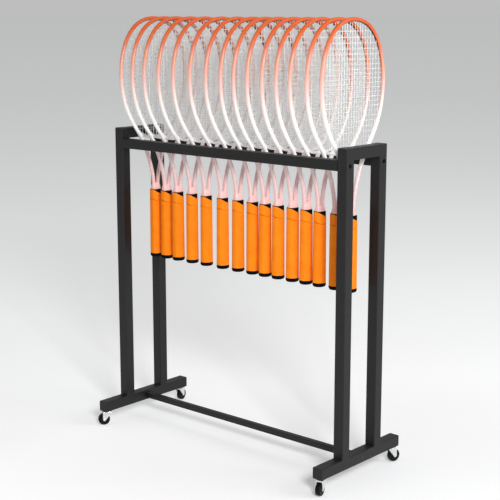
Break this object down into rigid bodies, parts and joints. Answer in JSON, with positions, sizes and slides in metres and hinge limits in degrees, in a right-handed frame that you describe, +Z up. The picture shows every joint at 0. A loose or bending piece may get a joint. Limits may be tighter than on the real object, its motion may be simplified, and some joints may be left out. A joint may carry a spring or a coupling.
{
  "type": "racket rack",
  "caption": "Rolling rack of black square tube on swivel casters, with two rails between which tennis rackets hang upright by their throats.",
  "frame": {"origin": "on the floor, under the middle of the rack", "axes": "+X along the rails, +Y to the back, +Z up"},
  "size_m": [0.833, 0.3565, 1.1808],
  "materials": {
    "stand_tube": "black powder coat, fine satin texture",
    "black_screw": "black oxide",
    "caster_stem": "zinc plated",
    "caster_fork": "bright zinc plated",
    "caster_wheel": "moulded black nylon",
    "racket_frame": "white lacquer that fades to orange at the crown",
    "racket_grip": "perforated wrap, with a black butt cap and collar"
  },
  "bodies": {
    "stand": {"left_front_post": "stand_tube", "left_rear_post": "stand_tube", "left_top_bar": "stand_tube", "left_foot": "stand_tube", "right_front_post": "stand_tube", "right_rear_post": "stand_tube", "right_top_bar": "stand_tube", "right_foot": "stand_tube", "front_rail": "stand_tube", "rear_rail": "stand_tube", "stretcher": "stand_tube", "left_front_rail_bolt": "black_screw", "left_rear_rail_bolt": "black_screw", "left_stretcher_bolt": "black_screw", "right_front_rail_bolt": "black_screw", "right_rear_rail_bolt": "black_screw", "right_stretcher_bolt": "black_screw", "front_left_caster_stem": "caster_stem", "front_right_caster_stem": "caster_stem", "rear_left_caster_stem": "caster_stem", "rear_right_caster_stem": "caster_stem"},
    "front_left_fork": {"front_left_caster_fork": "caster_fork"},
    "front_left_wheel": {"front_left_caster_wheel": "caster_wheel"},
    "front_right_fork": {"front_right_caster_fork": "caster_fork"},
    "front_right_wheel": {"front_right_caster_wheel": "caster_wheel"},
    "rear_left_fork": {"rear_left_caster_fork": "caster_fork"},
    "rear_left_wheel": {"rear_left_caster_wheel": "caster_wheel"},
    "rear_right_fork": {"rear_right_caster_fork": "caster_fork"},
    "rear_right_wheel": {"rear_right_caster_wheel": "caster_wheel"},
    "racket_01": {"racket_01_frame": "racket_frame", "racket_01_grip": "racket_grip"},
    "racket_02": {"racket_02_frame": "racket_frame", "racket_02_grip": "racket_grip"},
    "racket_03": {"racket_03_frame": "racket_frame", "racket_03_grip": "racket_grip"},
    "racket_04": {"racket_04_frame": "racket_frame", "racket_04_grip": "racket_grip"},
    "racket_05": {"racket_05_frame": "racket_frame", "racket_05_grip": "racket_grip"},
    "racket_06": {"racket_06_frame": "racket_frame", "racket_06_grip": "racket_grip"},
    "racket_07": {"racket_07_frame": "racket_frame", "racket_07_grip": "racket_grip"},
    "racket_08": {"racket_08_frame": "racket_frame", "racket_08_grip": "racket_grip"},
    "racket_09": {"racket_09_frame": "racket_frame", "racket_09_grip": "racket_grip"},
    "racket_10": {"racket_10_frame": "racket_frame", "racket_10_grip": "racket_grip"},
    "racket_11": {"racket_11_frame": "racket_frame", "racket_11_grip": "racket_grip"},
    "racket_12": {"racket_12_frame": "racket_frame", "racket_12_grip": "racket_grip"},
    "racket_13": {"racket_13_frame": "racket_frame", "racket_13_grip": "racket_grip"},
    "racket_14": {"racket_14_frame": "racket_frame", "racket_14_grip": "racket_grip"},
    "racket_15": {"racket_15_frame": "racket_frame", "racket_15_grip": "racket_grip"}
  },
  "joints": [
    {"name": "front_left_swivel", "type": "hinge", "parent": "stand", "child": "front_left_fork", "pos_m": [-0.399, -0.149, 0.043], "axis": [0, 0, 1], "continuous": true},
    {"name": "front_left_roll", "type": "hinge", "parent": "front_left_fork", "child": "front_left_wheel", "pos_m": [-0.40536, -0.15918, 0.017], "axis": [0.848, -0.5299, 0], "continuous": true},
    {"name": "front_right_swivel", "type": "hinge", "parent": "stand", "child": "front_right_fork", "pos_m": [0.399, -0.149, 0.043], "axis": [0, 0, 1], "continuous": true},
    {"name": "front_right_roll", "type": "hinge", "parent": "front_right_fork", "child": "front_right_wheel", "pos_m": [0.40211, -0.16059, 0.017], "axis": [0.9659, 0.2588, 0], "continuous": true},
    {"name": "rear_left_swivel", "type": "hinge", "parent": "stand", "child": "rear_left_fork", "pos_m": [-0.399, 0.149, 0.043], "axis": [0, 0, 1], "continuous": true},
    {"name": "rear_left_roll", "type": "hinge", "parent": "rear_left_fork", "child": "rear_left_wheel", "pos_m": [-0.4017, 0.16069, 0.017], "axis": [-0.9744, -0.225, 0], "continuous": true},
    {"name": "rear_right_swivel", "type": "hinge", "parent": "stand", "child": "rear_right_fork", "pos_m": [0.399, 0.149, 0.043], "axis": [0, 0, 1], "continuous": true},
    {"name": "rear_right_roll", "type": "hinge", "parent": "rear_right_fork", "child": "rear_right_wheel", "pos_m": [0.40231, 0.16054, 0.017], "axis": [-0.9613, 0.2756, 0], "continuous": true},
    {"name": "racket_01_lift", "type": "slide", "parent": "stand", "child": "racket_01", "axis": [0, 0, 1], "range_m": [0, 0.38]},
    {"name": "racket_02_lift", "type": "slide", "parent": "stand", "child": "racket_02", "axis": [0, 0, 1], "range_m": [0, 0.38]},
    {"name": "racket_03_lift", "type": "slide", "parent": "stand", "child": "racket_03", "axis": [0, 0, 1], "range_m": [0, 0.38]},
    {"name": "racket_04_lift", "type": "slide", "parent": "stand", "child": "racket_04", "axis": [0, 0, 1], "range_m": [0, 0.38]},
    {"name": "racket_05_lift", "type": "slide", "parent": "stand", "child": "racket_05", "axis": [0, 0, 1], "range_m": [0, 0.38]},
    {"name": "racket_06_lift", "type": "slide", "parent": "stand", "child": "racket_06", "axis": [0, 0, 1], "range_m": [0, 0.38]},
    {"name": "racket_07_lift", "type": "slide", "parent": "stand", "child": "racket_07", "axis": [0, 0, 1], "range_m": [0, 0.38]},
    {"name": "racket_08_lift", "type": "slide", "parent": "stand", "child": "racket_08", "axis": [0, 0, 1], "range_m": [0, 0.38]},
    {"name": "racket_09_lift", "type": "slide", "parent": "stand", "child": "racket_09", "axis": [0, 0, 1], "range_m": [0, 0.38]},
    {"name": "racket_10_lift", "type": "slide", "parent": "stand", "child": "racket_10", "axis": [0, 0, 1], "range_m": [0, 0.38]},
    {"name": "racket_11_lift", "type": "slide", "parent": "stand", "child": "racket_11", "axis": [0, 0, 1], "range_m": [0, 0.38]},
    {"name": "racket_12_lift", "type": "slide", "parent": "stand", "child": "racket_12", "axis": [0, 0, 1], "range_m": [0, 0.38]},
    {"name": "racket_13_lift", "type": "slide", "parent": "stand", "child": "racket_13", "axis": [0, 0, 1], "range_m": [0, 0.38]},
    {"name": "racket_14_lift", "type": "slide", "parent": "stand", "child": "racket_14", "axis": [0, 0, 1], "range_m": [0, 0.38]},
    {"name": "racket_15_lift", "type": "slide", "parent": "stand", "child": "racket_15", "axis": [0, 0, 1], "range_m": [0, 0.38]}
  ]
}
